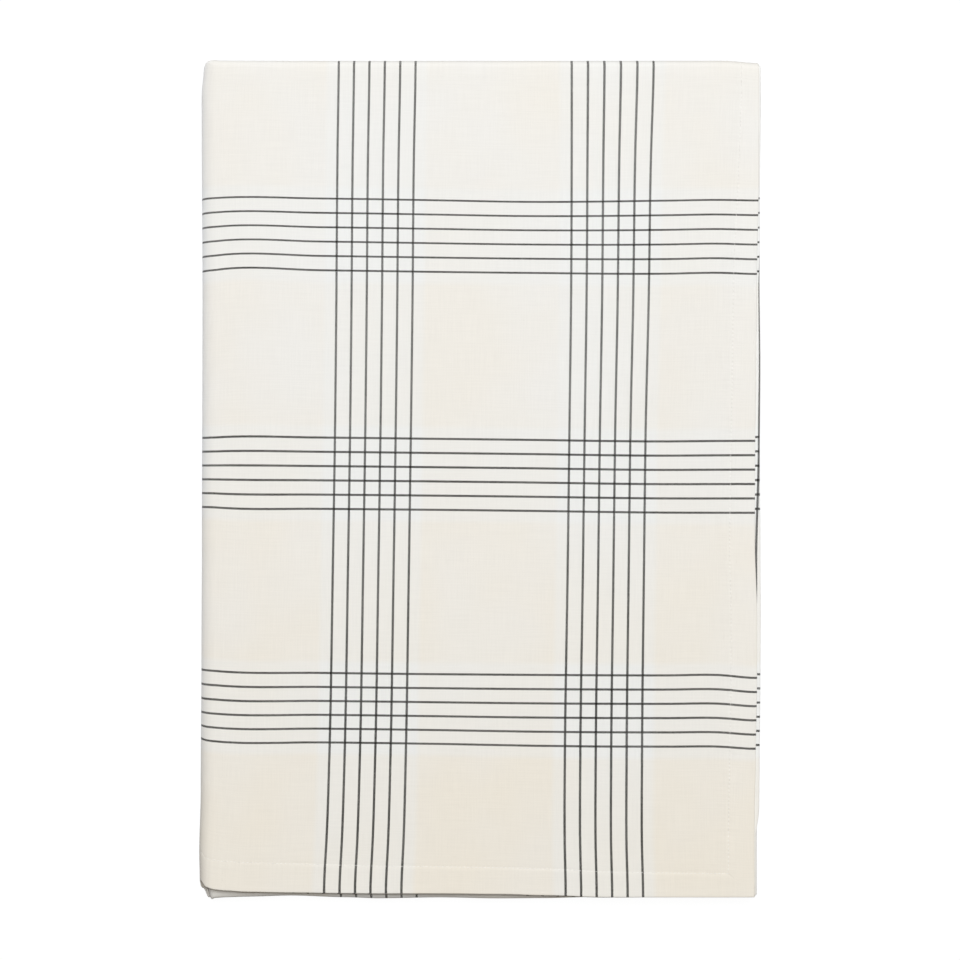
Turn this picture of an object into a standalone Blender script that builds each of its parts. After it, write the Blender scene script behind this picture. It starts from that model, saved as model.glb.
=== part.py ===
"""A tablecloth folded flat: one hemmed sheet of checked cotton, 1.50 m wide and 2.268 m long.

The sheet is folded in half across its width, in quarters along its length, and in half across
its width again, so it lies sixteen layers deep. It is one closed solid. A grid of points on the
cloth laid flat is carried through each fold in turn, once for the cloth's right side and once
for its wrong side, and a rim closes the two round the hemmed edge.

Frame: metres, +Z up, with the origin under the middle of the folded cloth, on the surface it
lies on. The top layer's side hem is at +X and its end hem at -Y; the last fold is at -X.
"""

import math

import bpy
import numpy as np

# The cloth laid flat.
CLOTH_WIDTH = 1.50
CLOTH_LENGTH = 2.268
SHEET = 0.0010  # thickness of the cloth
HEM_WIDTH = 0.016
HEM_SLOPE = 0.002  # the hem's inner edge drops to the single sheet over this distance
HEM_EXTRA = 0.00012  # what the turned hem adds, all of it on the wrong side
LAYER_PITCH = 0.0014  # from one layer of the stack to the next

# Each fold, in the order it is made. A turn is the axis of a bend, by its distance from the first
# hem in the folded cloth. A level is a panel's place in the new stack, 0 at the bottom, counted
# in thicknesses of what is folded. Steps are the flats that stand for a half circle.
FOLDS = (
    {"across": "width", "turns": (0.7478,), "levels": (1, 0), "steps": 4},
    {"across": "length", "turns": (0.5614, 0.0, 0.5614), "levels": (3, 0, 1, 2), "steps": 6},
    {"across": "width", "turns": (0.3667,), "levels": (1, 0), "steps": 8},
)

# Where the grid has lines between the bends, by distance from the first hem, once folded.
WIDTH_LINES = (0.10, 0.22, 0.33)
LENGTH_LINES = (0.05, 0.14, 0.29, 0.42, 0.52)
LEAST_SPACING = 0.004  # two grid lines on a flat stretch are never closer than this

# The hems don't lie one over the other. Reach is how far a hem lies beyond its even place, by the
# distance along that hem from the cloth's first corner. The first rows are the top two layers'.
SIDE_HEMS = (
    {"along": 0.00, "near_reach": -0.0013, "far_reach": -0.0024},
    {"along": 0.04, "near_reach": -0.0014, "far_reach": -0.0023},
    {"along": 0.06, "near_reach": -0.0012, "far_reach": -0.0001},
    {"along": 0.09, "near_reach": -0.0005, "far_reach": 0.0002},
    {"along": 0.15, "near_reach": 0.0005, "far_reach": 0.0007},
    {"along": 0.19, "near_reach": 0.0005, "far_reach": 0.0009},
    {"along": 0.24, "near_reach": -0.0010, "far_reach": 0.0007},
    {"along": 0.30, "near_reach": -0.0008, "far_reach": 0.0003},
    {"along": 0.36, "near_reach": -0.0002, "far_reach": 0.0007},
    {"along": 0.42, "near_reach": 0.0004, "far_reach": 0.0001},
    {"along": 0.48, "near_reach": 0.0015, "far_reach": 0.0003},
    {"along": 0.54, "near_reach": 0.0018, "far_reach": 0.0009},
    {"along": 0.85, "near_reach": -0.0015, "far_reach": -0.0003},
    {"along": 1.40, "near_reach": 0.0012, "far_reach": -0.0012},
    {"along": 1.95, "near_reach": -0.0008, "far_reach": -0.0002},
    {"along": 2.27, "near_reach": -0.0026, "far_reach": -0.0034},
)
END_HEMS = (
    {"along": 0.00, "near_reach": 0.0000, "far_reach": -0.0004},
    {"along": 0.18, "near_reach": 0.0000, "far_reach": 0.0004},
    {"along": 0.36, "near_reach": 0.0000, "far_reach": 0.0006},
    {"along": 0.56, "near_reach": 0.0012, "far_reach": -0.0010},
    {"along": 0.75, "near_reach": -0.0008, "far_reach": 0.0006},
    {"along": 0.94, "near_reach": 0.0010, "far_reach": -0.0008},
    {"along": 1.12, "near_reach": 0.0006, "far_reach": 0.0006},
    {"along": 1.31, "near_reach": -0.0006, "far_reach": 0.0008},
    {"along": 1.50, "near_reach": -0.0010, "far_reach": 0.0000},
)
REACH_FADES_OVER = 0.06  # the cloth takes up a hem's reach over this distance from its edge

# How the stack settles. Along is from -1 at the side hem to 1 at the last fold for the front edge,
# where the four layers of hems lie over a fold, and from -1 at the back to 1 at the front for the
# last fold itself.
FRONT_EDGE = (
    {"along": -0.45, "hems_drawn_back": 0.0000, "fold_drawn_back": 0.0014},
    {"along": -0.22, "hems_drawn_back": 0.0013, "fold_drawn_back": 0.0002},
    {"along": -0.05, "hems_drawn_back": 0.0021, "fold_drawn_back": 0.0000},
    {"along": 0.17, "hems_drawn_back": 0.0025, "fold_drawn_back": 0.0007},
    {"along": 0.40, "hems_drawn_back": 0.0025, "fold_drawn_back": 0.0001},
    {"along": 0.52, "hems_drawn_back": 0.0027, "fold_drawn_back": 0.0008},
    {"along": 0.72, "hems_drawn_back": 0.0032, "fold_drawn_back": 0.0020},
    {"along": 0.88, "hems_drawn_back": 0.0038, "fold_drawn_back": 0.0013},
    {"along": 0.96, "hems_drawn_back": 0.0047, "fold_drawn_back": 0.0009},
    {"along": 1.00, "hems_drawn_back": 0.0055, "fold_drawn_back": 0.0004},
    {"along": 1.03, "hems_drawn_back": 0.0068, "fold_drawn_back": -0.0026},
    {"along": 1.05, "hems_drawn_back": 0.0100, "fold_drawn_back": 0.0030},
)
LAST_FOLD_EDGE = (
    {"along": -1.00, "pulled_in": 0.0026},
    {"along": -0.94, "pulled_in": 0.0010},
    {"along": -0.44, "pulled_in": 0.0016},
    {"along": 0.16, "pulled_in": 0.0012},
    {"along": 0.40, "pulled_in": 0.0009},
    {"along": 0.77, "pulled_in": 0.0004},
    {"along": 0.93, "pulled_in": -0.0006},
    {"along": 1.00, "pulled_in": -0.0003},
)
FOLD_CORNER_PUSHED_OUT = 0.0012  # the back corner of the last fold
BACK_CORNER_PULLED_IN = 0.0017  # the back corner beside the side hem
FOLD_SWELL = 0.035  # how much thicker the stack is over the last fold, as a share
SURFACE_WAVE = 0.010  # how much its thickness varies elsewhere, as a share

OFF_WHITE = (0.80, 0.78, 0.73, 1.0)


def eased(low, high, at):
    """Rises from 0 at low to 1 at high with no kink at either end."""
    t = np.clip((at - low) / (high - low), 0.0, 1.0)
    return t * t * (3.0 - 2.0 * t)


def read_smoothly(table, column, at):
    """A table's column at the given distances along, eased from one row to the next."""
    result = np.full_like(at, table[0][column])
    for row, following in zip(table, table[1:]):
        step = following[column] - row[column]
        result = result + step * eased(row["along"], following["along"], at)
    return result


def fold_strip(distance, height, fold, thickness):
    """Carry points of a strip laid flat into its folds.

    distance runs along the strip from its first edge, and height is above its middle. Returns how
    far each point ends from the first edge, towards the first turn, and its height above the base
    of the folded stack.
    """
    levels = fold["levels"]
    along = distance
    up = (levels[0] + 0.5) * thickness + height
    panel_start, panel_from, way = 0.0, 0.0, 1.0
    for turn, before, after in zip(fold["turns"], levels, levels[1:]):
        radius = abs(before - after) * thickness / 2
        middle = (before + after + 1) * thickness / 2
        downwards = math.copysign(1.0, before - after)
        bend_start = panel_start + abs(turn - panel_from)
        angle = np.clip((distance - bend_start) / radius, 0.0, math.pi)
        reach = radius + way * downwards * height
        bent = distance > bend_start
        along = np.where(bent, turn + way * reach * np.sin(angle), along)
        up = np.where(bent, middle + downwards * reach * np.cos(angle), up)
        way = -way
        panel_start = bend_start + math.pi * radius
        panel_from = turn
        along = np.where(distance > panel_start, turn + way * (distance - panel_start), along)
    return along, up


def folded(across, along, height):
    """Where points of the cloth laid flat lie in the folded stack, the heights from its base."""
    place = {"width": across, "length": along}
    thickness = LAYER_PITCH
    for fold in FOLDS:
        way = fold["across"]
        place[way], height = fold_strip(place[way], height, fold, thickness)
        thickness *= len(fold["levels"])
        height = height - thickness / 2
    return place["width"], place["length"], height + thickness / 2


def stack_height():
    """The height of the folded stack, with the gap that its outer sheets leave."""
    return LAYER_PITCH * math.prod(len(fold["levels"]) for fold in FOLDS)


def settled(x, y, z):
    """Shift and swell the neat stack as cloth settles. It moves space smoothly, so no two layers meet."""
    height = stack_height()
    half_width = FOLDS[2]["turns"][0] / 2
    half_length = FOLDS[1]["turns"][0] / 2
    to_fold = -x / half_width
    to_front = -y / half_length
    from_middle = np.hypot(np.maximum(-x - half_width, 0.0), z - height / 2)
    hems = eased(0.22, 0.54, from_middle / (height / 2)) * eased(0.3, 0.6, z / height)
    drawn_back = read_smoothly(FRONT_EDGE, "hems_drawn_back", to_fold) * hems
    drawn_back = drawn_back + read_smoothly(FRONT_EDGE, "fold_drawn_back", to_fold) * (1.0 - hems)
    x = x + read_smoothly(LAST_FOLD_EDGE, "pulled_in", to_front) * eased(0.5, 1.0, to_fold)
    y = y + eased(0.5, 1.0, to_front) * drawn_back
    at_back = eased(0.85, 1.0, -to_front)
    y = y + FOLD_CORNER_PUSHED_OUT * eased(0.99, 1.05, to_fold) * at_back
    y = y - BACK_CORNER_PULLED_IN * eased(0.88, 1.02, -to_fold) * at_back
    swell = 1.0 + FOLD_SWELL * eased(0.55, 1.0, to_fold)
    swell = swell + SURFACE_WAVE * (1.0 + np.sin(2.1 * to_fold + 0.6) * np.sin(2.6 * to_front + 1.1))
    return x, y, z * swell


def lines_through(places, fold, thickness, whole):
    """Distances along a strip of this whole length where it crosses the places, with each bend's steps."""
    stops = [0.0]
    panel_start, panel_from, way = 0.0, 0.0, 1.0
    levels = fold["levels"]
    for turn, before, after in zip(fold["turns"], levels, levels[1:]):
        stops += [panel_start + way * (place - panel_from) for place in places if (turn - place) * way > 0]
        radius = abs(before - after) * thickness / 2
        bend_start = panel_start + abs(turn - panel_from)
        panel_start = bend_start + math.pi * radius
        stops += list(np.linspace(bend_start, panel_start, fold["steps"] + 1))
        panel_from = turn
        way = -way
    stops += [panel_start + way * (place - panel_from) for place in places]
    return sorted(stop for stop in stops if 0.0 <= stop < whole)


def with_hem_lines(stops, whole):
    """Adds the lines that a hem needs at both ends, in place of any too close to them."""
    hem = (0.0, HEM_WIDTH - HEM_SLOPE, HEM_WIDTH)
    low, high = HEM_WIDTH + LEAST_SPACING, whole - HEM_WIDTH - LEAST_SPACING
    inner = [stop for stop in stops if low < stop < high]
    return np.array([*hem, *inner, *(whole - edge for edge in reversed(hem))])


def grid_lines():
    """The lines of the grid across and along the cloth laid flat, and how many sheets each fold bends."""
    half, quarters, last = FOLDS
    bundle = LAYER_PITCH * len(half["levels"])
    stack = bundle * len(quarters["levels"])
    half_width = half["turns"][0]
    across = lines_through(WIDTH_LINES, last, stack, half_width)
    across = lines_through(across[1:], half, LAYER_PITCH, CLOTH_WIDTH)
    along = lines_through(LENGTH_LINES, quarters, bundle, CLOTH_LENGTH)
    return with_hem_lines(across, CLOTH_WIDTH), with_hem_lines(along, CLOTH_LENGTH)


def moved_hems(across, along):
    """Moves the cloth's points near its hems by how far each hem reaches."""
    beyond_side = CLOTH_WIDTH - across
    beyond_end = CLOTH_LENGTH - along
    near_side = read_smoothly(SIDE_HEMS, "near_reach", along) * eased(REACH_FADES_OVER, 0.0, across)
    far_side = read_smoothly(SIDE_HEMS, "far_reach", along) * eased(REACH_FADES_OVER, 0.0, beyond_side)
    near_end = read_smoothly(END_HEMS, "near_reach", across) * eased(REACH_FADES_OVER, 0.0, along)
    far_end = read_smoothly(END_HEMS, "far_reach", across) * eased(REACH_FADES_OVER, 0.0, beyond_end)
    return across - near_side + far_side, along - near_end + far_end


def cloth_points(across, along, side):
    """The points of one side of the cloth, side 1 for the right side and -1 for the wrong one."""
    to_edge = np.minimum(np.minimum(across, CLOTH_WIDTH - across), np.minimum(along, CLOTH_LENGTH - along))
    hem = np.clip((HEM_WIDTH - to_edge) / HEM_SLOPE, 0.0, 1.0)
    height = SHEET / 2 if side > 0 else -SHEET / 2 - HEM_EXTRA * hem
    from_side, from_end, up = folded(*moved_hems(across, along), height)
    half_width = FOLDS[2]["turns"][0] / 2
    half_length = FOLDS[1]["turns"][0] / 2
    resting = (LAYER_PITCH - SHEET) / 2
    x, y, z = settled(half_width - from_side, from_end - half_length, up - resting)
    return np.stack([x, y, z], axis=-1)


def grid_faces(lines_across, lines_along, right, wrong):
    """Triangles of both sides, their diagonals alike from layer to layer so that the layers nest."""
    columns, rows = np.meshgrid(np.arange(lines_across - 1), np.arange(lines_along - 1), indexing="ij")
    corner = (columns * lines_along + rows).ravel()
    step_across = right[1:, :-1, 0] - right[:-1, :-1, 0]
    step_along = right[:-1, 1:, 1] - right[:-1, :-1, 1]
    alike = ((step_across * step_along) < 0).ravel()
    a, b, c, d = corner, corner + lines_along, corner + lines_along + 1, corner + 1
    first = np.where(alike[:, None], np.stack([a, d, c], 1), np.stack([a, d, b], 1))
    second = np.where(alike[:, None], np.stack([a, c, b], 1), np.stack([d, c, b], 1))
    right_side = np.concatenate([first, second])
    wrong_side = right_side[:, ::-1] + lines_across * lines_along
    return [*right_side.tolist(), *wrong_side.tolist()]


def rim_faces(lines_across, lines_along):
    """Quads that close the two sides round the cloth's edge."""
    last_column = (lines_across - 1) * lines_along
    near_end = [column * lines_along for column in range(lines_across)]
    far_side = [last_column + row for row in range(1, lines_along)]
    far_end = [column * lines_along + lines_along - 1 for column in range(lines_across - 2, -1, -1)]
    near_side = list(range(lines_along - 2, 0, -1))
    edge = near_end + far_side + far_end + near_side
    under = lines_across * lines_along
    return [[here, there, there + under, here + under] for here, there in zip(edge, edge[1:] + edge[:1])]


def cotton():
    """Off-white cotton, plain woven."""
    material = bpy.data.materials.new("cotton")
    material.use_nodes = True
    shader = material.node_tree.nodes["Principled BSDF"]
    shader.inputs["Base Color"].default_value = OFF_WHITE
    shader.inputs["Roughness"].default_value = 0.9
    shader.inputs["Metallic"].default_value = 0.0
    return material


def tablecloth():
    """The folded cloth, moved so that the origin is under its middle."""
    lines_across, lines_along = grid_lines()
    across, along = np.meshgrid(lines_across, lines_along, indexing="ij")
    right = cloth_points(across, along, 1)
    wrong = cloth_points(across, along, -1)
    points = np.concatenate([right.reshape(-1, 3), wrong.reshape(-1, 3)])
    middle = (points.min(axis=0) + points.max(axis=0)) / 2
    points = points - (middle[0], middle[1], 0.0)
    faces = grid_faces(len(lines_across), len(lines_along), right, wrong)
    faces += rim_faces(len(lines_across), len(lines_along))
    mesh = bpy.data.meshes.new("tablecloth")
    mesh.from_pydata(points.tolist(), [], faces)
    mesh.materials.append(cotton())
    mesh.shade_smooth()
    mesh.set_sharp_from_angle(angle=math.radians(50))
    cloth = bpy.data.objects.new("tablecloth", mesh)
    bpy.context.scene.collection.objects.link(cloth)
    return cloth


for leftover in list(bpy.data.objects):
    bpy.data.objects.remove(leftover)
tablecloth()
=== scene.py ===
"""A folded cotton tablecloth on a plain pale floor, seen from straight above.

The cloth is one thin sheet, 1.50 m by 2.268 m, carried through the same three folds as its solid:
in half across its width, in quarters along its length, and in half across its width again. The
checks are woven: six thin black lines to a group, with their yarns a little off the straight.
"""

import math

import bpy
import mathutils
import numpy as np
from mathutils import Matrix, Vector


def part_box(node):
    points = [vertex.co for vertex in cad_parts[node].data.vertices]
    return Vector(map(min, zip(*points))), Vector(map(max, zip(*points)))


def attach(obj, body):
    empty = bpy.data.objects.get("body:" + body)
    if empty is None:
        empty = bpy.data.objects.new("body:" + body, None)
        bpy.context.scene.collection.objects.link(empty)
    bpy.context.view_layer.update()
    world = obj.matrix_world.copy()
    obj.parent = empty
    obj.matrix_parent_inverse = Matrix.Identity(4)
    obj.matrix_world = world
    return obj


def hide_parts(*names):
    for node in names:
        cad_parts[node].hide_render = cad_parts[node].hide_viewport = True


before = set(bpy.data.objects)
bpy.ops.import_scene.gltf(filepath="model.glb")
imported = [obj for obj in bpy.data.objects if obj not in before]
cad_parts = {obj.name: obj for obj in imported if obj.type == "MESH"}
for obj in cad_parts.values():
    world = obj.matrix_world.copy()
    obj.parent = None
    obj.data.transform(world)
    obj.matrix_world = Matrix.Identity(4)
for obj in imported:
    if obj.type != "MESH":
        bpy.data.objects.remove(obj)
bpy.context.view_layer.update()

MM = 0.001

# The cloth laid flat, in metres.
CLOTH_WIDTH = 1.50
CLOTH_LENGTH = 2.268
TOP_ACROSS = 0.385  # how far the top layer goes, to just past the folds that end it
TOP_ALONG = 0.575
SHEET = 0.0010
LAYER_PITCH = 0.0014
HEM = 0.016  # an even hem's width, from the edge to the seam
HEM_EXTRA = 0.00012  # what the turned hem adds on the wrong side
HEM_EXTRA_EASES = 0.002  # the distance over which it comes in
HEM_RISE = 0.00012  # what it adds on the right side, on the top layer only
SEAM_DEPTH = 0.00008  # how deep the stitching pulls the cloth in
SEAM_HALF_WIDTH = 0.0011
HIDDEN_SEAM = 0.35  # that share of the depth is left inside the stack, where the layers lie close
HEM_STEP = 0.0006  # the hem's rise eases in over twice this distance
HEMS_RISE_ACROSS = (0.35, 0.30)  # where the rise ends on the way to the top layer's folds
HEMS_RISE_ALONG = (0.545, 0.50)
EDGE_ROUNDS_OVER = 0.0009
EDGE_LEFT = 0.30  # the share of the thickness that is left at the very edge

# Each fold, in the order it is made. A turn is the axis of a bend, by its distance from the first
# hem in the folded cloth. A level is a panel's place in the new stack, counted from the bottom.
FOLDS = (
    {"across": "width", "turns": (0.7478,), "levels": (1, 0), "steps": 6},
    {"across": "length", "turns": (0.5614, 0.0, 0.5614), "levels": (3, 0, 1, 2), "steps": 10},
    {"across": "width", "turns": (0.3667,), "levels": (1, 0), "steps": 16},
)
FINE_ACROSS = 0.006  # grid spacing on the top layer
FINE_ALONG = 0.007
COARSE = 0.019  # and inside the stack
FOLLOWS_SEAM = 0.08  # the grid's lines lie along the visible seams, and straight from here on

# Grid lines beside the hems, in millimetres from the edge. They are closest at the edge and the seam.
NEAR_HEM_LINES = (
    *(0.0, 0.15, 0.4, 0.9, 2.0, 4.0, 6.5, 9.0, 11.5, 13.5),
    *(14.9, 15.4, 15.7, 16.0, 16.3, 16.6, 17.1, 18.5),
)
FAR_HEM_LINES = (0.0, 0.15, 0.4, 0.9, 2.5, 5.0, 9.0, 13.5, 14.9, 15.5, 16.0, 16.5, 17.1)

# The hems don't lie one over the other. Reach is how far a hem lies beyond its even place, by the
# distance along that hem from the cloth's first corner. The first rows are the top two layers'.
SIDE_HEMS = (
    {"along": 0.00, "near_reach": -0.0013, "far_reach": -0.0024},
    {"along": 0.04, "near_reach": -0.0014, "far_reach": -0.0023},
    {"along": 0.06, "near_reach": -0.0012, "far_reach": -0.0001},
    {"along": 0.09, "near_reach": -0.0005, "far_reach": 0.0002},
    {"along": 0.15, "near_reach": 0.0005, "far_reach": 0.0007},
    {"along": 0.19, "near_reach": 0.0005, "far_reach": 0.0009},
    {"along": 0.24, "near_reach": -0.0010, "far_reach": 0.0007},
    {"along": 0.30, "near_reach": -0.0008, "far_reach": 0.0003},
    {"along": 0.36, "near_reach": -0.0002, "far_reach": 0.0007},
    {"along": 0.42, "near_reach": 0.0004, "far_reach": 0.0001},
    {"along": 0.48, "near_reach": 0.0015, "far_reach": 0.0003},
    {"along": 0.54, "near_reach": 0.0018, "far_reach": 0.0009},
    {"along": 0.85, "near_reach": -0.0015, "far_reach": -0.0003},
    {"along": 1.40, "near_reach": 0.0012, "far_reach": -0.0012},
    {"along": 1.95, "near_reach": -0.0008, "far_reach": -0.0002},
    {"along": 2.27, "near_reach": -0.0026, "far_reach": -0.0034},
)
END_HEMS = (
    {"along": 0.00, "near_reach": 0.0000, "far_reach": -0.0004},
    {"along": 0.18, "near_reach": 0.0000, "far_reach": 0.0004},
    {"along": 0.36, "near_reach": 0.0000, "far_reach": 0.0006},
    {"along": 0.56, "near_reach": 0.0012, "far_reach": -0.0010},
    {"along": 0.75, "near_reach": -0.0008, "far_reach": 0.0006},
    {"along": 0.94, "near_reach": 0.0010, "far_reach": -0.0008},
    {"along": 1.12, "near_reach": 0.0006, "far_reach": 0.0006},
    {"along": 1.31, "near_reach": -0.0006, "far_reach": 0.0008},
    {"along": 1.50, "near_reach": -0.0010, "far_reach": 0.0000},
)
REACH_FADES_OVER = 0.06

# How wide the top layer's two hems were turned, along each of them.
SIDE_SEAM = (
    {"along": 0.00, "width": 0.0180},
    {"along": 0.20, "width": 0.0175},
    {"along": 0.40, "width": 0.0160},
    {"along": 0.56, "width": 0.0118},
)
END_SEAM = (
    {"along": 0.00, "width": 0.0161},
    {"along": 0.19, "width": 0.0182},
    {"along": 0.37, "width": 0.0202},
)

# How the stack settles. Along is from -1 at the side hem to 1 at the last fold for the front edge,
# where the four layers of hems lie over a fold, and from -1 at the back to 1 at the front for the
# last fold itself.
FRONT_EDGE = (
    {"along": -0.45, "hems_drawn_back": 0.0000, "fold_drawn_back": 0.0014},
    {"along": -0.22, "hems_drawn_back": 0.0013, "fold_drawn_back": 0.0002},
    {"along": -0.05, "hems_drawn_back": 0.0021, "fold_drawn_back": 0.0000},
    {"along": 0.17, "hems_drawn_back": 0.0025, "fold_drawn_back": 0.0007},
    {"along": 0.40, "hems_drawn_back": 0.0025, "fold_drawn_back": 0.0001},
    {"along": 0.52, "hems_drawn_back": 0.0027, "fold_drawn_back": 0.0008},
    {"along": 0.72, "hems_drawn_back": 0.0032, "fold_drawn_back": 0.0020},
    {"along": 0.88, "hems_drawn_back": 0.0038, "fold_drawn_back": 0.0013},
    {"along": 0.96, "hems_drawn_back": 0.0047, "fold_drawn_back": 0.0009},
    {"along": 1.00, "hems_drawn_back": 0.0055, "fold_drawn_back": 0.0004},
    {"along": 1.03, "hems_drawn_back": 0.0068, "fold_drawn_back": -0.0026},
    {"along": 1.05, "hems_drawn_back": 0.0100, "fold_drawn_back": 0.0030},
)
LAST_FOLD_EDGE = (
    {"along": -1.00, "pulled_in": 0.0026},
    {"along": -0.94, "pulled_in": 0.0010},
    {"along": -0.44, "pulled_in": 0.0016},
    {"along": 0.16, "pulled_in": 0.0012},
    {"along": 0.40, "pulled_in": 0.0009},
    {"along": 0.77, "pulled_in": 0.0004},
    {"along": 0.93, "pulled_in": -0.0006},
    {"along": 1.00, "pulled_in": -0.0003},
)
FOLD_CORNER_PUSHED_OUT = 0.0012  # the back corner of the last fold
BACK_CORNER_PULLED_IN = 0.0017  # the back corner beside the side hem
FOLD_SWELL = 0.035
SURFACE_WAVE = 0.010

# Broad, soft unevenness of the top, as shares of the height. Each row is two waves that cross, with
# radians for each metre across and along, and where the wave starts.
SOFT_WAVES = (
    {"strength": 0.0060, "one": (31.0, 9.0, 0.4), "other": (-7.0, 23.0, 1.9)},
    {"strength": 0.0036, "one": (58.0, -21.0, 2.6), "other": (17.0, 44.0, 0.7)},
)

# The checks. Six lines to a group, then plain cloth up to the next group.
WARP_LINES = {"first": 0.071, "pitch": 0.0103, "repeat": 0.159, "count": 6, "width": 0.00153}
WEFT_LINES = {"first": 0.102, "pitch": 0.0096, "repeat": 0.1605, "count": 6, "width": 0.00147}
WARP_PITCH = 0.00052  # from one yarn to the next
WEFT_PITCH = 0.00050

# Where the first and last line of each group really lie on the top layer, in millimetres from the
# middle of the folded cloth. Warp lines are counted from the side hem, and weft lines from the front.
WARP_LINES_LIE = (
    {"along": 4, "1st": 110.9, "6th": 58.6, "7th": -52.5, "12th": -104.8},
    {"along": 38, "1st": 110.1, "6th": 57.9, "7th": -51.0, "12th": -103.1},
    {"along": 92, "1st": 110.2, "6th": 58.0, "7th": -49.6, "12th": -101.3},
    {"along": 220, "1st": 111.5, "6th": 59.9, "7th": -47.5, "12th": -98.9},
    {"along": 322, "1st": 112.8, "6th": 61.2, "7th": -46.0, "12th": -97.3},
    {"along": 403, "1st": 114.7, "6th": 62.2, "7th": -45.0, "12th": -96.5},
    {"along": 498, "1st": 116.2, "6th": 62.6, "7th": -44.1, "12th": -95.8},
    {"along": 562, "1st": 118.2, "6th": 62.6, "7th": -42.9, "12th": -94.9},
)
WEFT_LINES_LIE = (
    {"across": 3, "1st": -181.5, "6th": -133.6, "7th": -22.0, "12th": 26.7, "13th": 139.5, "18th": 189.2},
    {"across": 25, "1st": -180.1, "6th": -131.7, "7th": -22.0, "12th": 26.6, "13th": 140.3, "18th": 189.6},
    {"across": 59, "1st": -180.1, "6th": -131.9, "7th": -21.9, "12th": 26.3, "13th": 139.7, "18th": 189.1},
    {"across": 160, "1st": -179.3, "6th": -131.5, "7th": -20.6, "12th": 27.4, "13th": 140.3, "18th": 188.3},
    {"across": 214, "1st": -178.2, "6th": -131.1, "7th": -20.0, "12th": 28.0, "13th": 140.9, "18th": 189.3},
    {"across": 295, "1st": -177.2, "6th": -130.2, "7th": -19.3, "12th": 28.9, "13th": 142.0, "18th": 190.6},
    {"across": 363, "1st": -176.7, "6th": -129.1, "7th": -18.6, "12th": 29.2, "13th": 142.7, "18th": 191.0},
    {"across": 370, "1st": -175.9, "6th": -128.5, "7th": -18.1, "12th": 28.8, "13th": 141.8, "18th": 190.6},
)
WANDER_FADES_OVER = 0.15  # past the top layer the yarns straighten out over this distance

# The second layer's side hem shows beside the top one. How far its lines lie from the top layer's,
# in millimetres, fading in over the last part of the cloth's width and out past the top layer.
UNDER_HEM_FADES_IN = (CLOTH_WIDTH - 0.20, CLOTH_WIDTH - 0.05)
UNDER_HEM_FADES_OUT = 0.72
UNDER_HEM_LINES = (
    {"along": 0.00, "outwards": 8.0, "backwards": 2.2},
    {"along": 0.13, "outwards": 6.6, "backwards": 2.3},
    {"along": 0.226, "outwards": 5.0, "backwards": 2.6},
    {"along": 0.308, "outwards": 2.6, "backwards": 2.6},
    {"along": 0.405, "outwards": 2.2, "backwards": 2.0},
    {"along": 0.45, "outwards": 1.0, "backwards": 1.7},
    {"along": 0.56, "outwards": 0.0, "backwards": 1.5},
)

# Stitching: one white thread along each seam.
STITCH_PITCH = 0.0028
STITCH_LENGTH = 0.0021
STITCH_HALF_WIDTH = 0.00016
STITCH_FLATTENED = 0.7  # its height, as a share of its width
STITCH_LIFTED = 0.00004
STITCH_SKEW = 0.00006  # how far its ends lie off the seam's line, on the whole
STITCH_RINGS = ((-0.5, 0.35), (0.0, 1.0), (0.5, 0.35))  # along the stitch, and how thick there
STITCH_SECTION = ((1.0, 0.0), (0.0, 1.0), (-1.0, 0.0), (0.0, -1.0))

# The cotton. Sizes and heights are in metres, and a patch's size is across and along the cloth.
COTTON_WARM = "E8E0D1"
COTTON_COOL = "E7E4DE"
COTTON_BY_BLACK = "E7E7E4"  # grey lint from the black yarns dulls the cream between them
BLACK_YARN = "1E1C18"
BROAD_PATCHES = (0.085, 0.110)
LINT_REACHES = 0.008
LINT_FADES = 0.0025
LINT_SHARE = 0.40  # beside one group of lines, and twice that where two groups cross
WAVERS = 0.00018  # how far the yarns wander from the straight
WAVER_PATCHES = (0.004, 0.004)
LINE_EDGE = 0.00005  # how soft a dyed line's edge is
LINE_UNEVEN = 0.00008  # how much its edges come and go
LINE_PATCHES = (0.0022, 0.0022)
WORN_PATCHES = (0.030, 0.030)  # where the black is a little rubbed
WARP_SLUBS = (0.0009, 0.022)  # a slub is under a millimetre thick and about two centimetres long
WEFT_SLUBS = (0.026, 0.0009)
YARN_HEIGHT = 0.000012
SLUB_HEIGHT = 0.00003
RUMPLES = (0.020, 0.028)
RUMPLE_HEIGHT = 0.00020

# Beside a seam, where a patch's size is across and along the seam.
SEAM_HIGHLIGHT_REACH = 0.0015  # how far from the seam a highlight is painted along its ridge
SEAM_HIGHLIGHT_PATCHES = (0.03, 0.03)
STITCH_PULLS = 0.0018  # how far from the seam a stitch dents the cloth
STITCH_DEPTH = 0.00006
PUCKERS = (0.016, 0.005)
PUCKER_REACHES = 0.012
PUCKER_HEIGHT = 0.00022
MITRE_WIDTH = 0.0007
MITRE_DEPTH = 0.00015

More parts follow.
